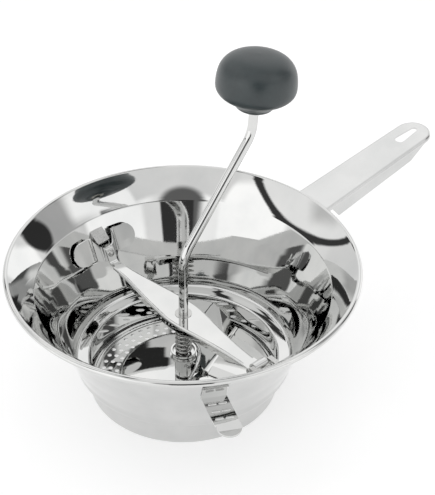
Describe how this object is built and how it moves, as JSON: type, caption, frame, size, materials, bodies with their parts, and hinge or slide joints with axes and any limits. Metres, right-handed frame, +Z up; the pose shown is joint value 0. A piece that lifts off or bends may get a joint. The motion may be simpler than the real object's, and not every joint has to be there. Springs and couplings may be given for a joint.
{
  "type": "hand cranked food mill",
  "caption": "Hand cranked food mill: flared steel bowl with perforated disc, lift-out crossbar with spring clip, bent crank with knob, sprung pressing blade, long handle and pot hooks.",
  "frame": {"origin": "centre of the bowl's bottom ring, in the plane it stands on", "axes": "+Z up the crank shaft, +X along the handle, +Y towards the spring clip"},
  "size_m": [0.3292, 0.22, 0.2154],
  "materials": {
    "polished_steel": "mirror polished stainless sheet",
    "satin_steel": "satin stainless",
    "spring_wire": "drawn wire",
    "knob_plastic": "dark grey-green soft matte",
    "sleeve_plastic": "natural nylon"
  },
  "bodies": {
    "frame": {"bowl": "polished_steel", "handle": "polished_steel", "handle_bracket": "satin_steel", "support_hook_front": "polished_steel", "support_hook_rear": "polished_steel", "clip_lug": "satin_steel", "loop_keeper": "satin_steel"},
    "disc": {"strainer_disc": "polished_steel", "disc_eyelet": "satin_steel"},
    "bridge": {"crossbar": "polished_steel", "crossbar_clip": "polished_steel", "clip_rivet": "satin_steel", "loop_pin": "satin_steel", "shaft_bush": "satin_steel"},
    "left_ear": {"clip_ear_left": "polished_steel"},
    "right_ear": {"clip_ear_right": "polished_steel"},
    "spring_seat": {"compression_spring": "spring_wire", "spring_cup": "satin_steel"},
    "crank": {"crank_rod": "polished_steel", "thrust_washer": "satin_steel", "blade_hub": "satin_steel", "hub_pin": "satin_steel", "press_blade": "polished_steel", "knob_washer": "satin_steel"},
    "grip": {"knob": "knob_plastic", "knob_sleeve": "sleeve_plastic"}
  },
  "joints": [
    {"name": "bridge_lift", "type": "slide", "parent": "frame", "child": "bridge", "axis": [0, 0, 1], "range_m": [0, 0.2]},
    {"name": "disc_lift", "type": "slide", "parent": "frame", "child": "disc", "axis": [0, 0, 1], "range_m": [0, 0.1]},
    {"name": "left_ear_pinch", "type": "hinge", "parent": "bridge", "child": "left_ear", "pos_m": [-0.0092, 0.0776, 0.0553], "axis": [0, 0.4067, 0.9136], "range_deg": [0, 10], "stiffness_Nm_per_rad": 0.2},
    {"name": "right_ear_pinch", "type": "hinge", "parent": "bridge", "child": "right_ear", "pos_m": [0.0092, 0.0776, 0.0553], "axis": [0, -0.4067, -0.9136], "range_deg": [0, 10], "stiffness_Nm_per_rad": 0.2},
    {"name": "blade_lift", "type": "slide", "parent": "bridge", "child": "spring_seat", "axis": [0, 0, 1], "range_m": [0, 0.005], "stiffness_N_per_m": 1500, "springref_m": -0.006, "deforming": ["compression_spring"]},
    {"name": "crank_turn", "type": "hinge", "parent": "spring_seat", "child": "crank", "pos_m": [0, 0, 0.05], "axis": [0, 0, 1], "continuous": true},
    {"name": "knob_spin", "type": "hinge", "parent": "crank", "child": "grip", "pos_m": [0.05955, 0.00312, 0.17953], "axis": [0.087, 0.0046, 0.9962], "continuous": true}
  ],
  "couplings": [
    {"joint": "disc_lift", "follows": "bridge_lift", "ratio": 0.5},
    {"joint": "right_ear_pinch", "follows": "left_ear_pinch", "ratio": 1}
  ]
}
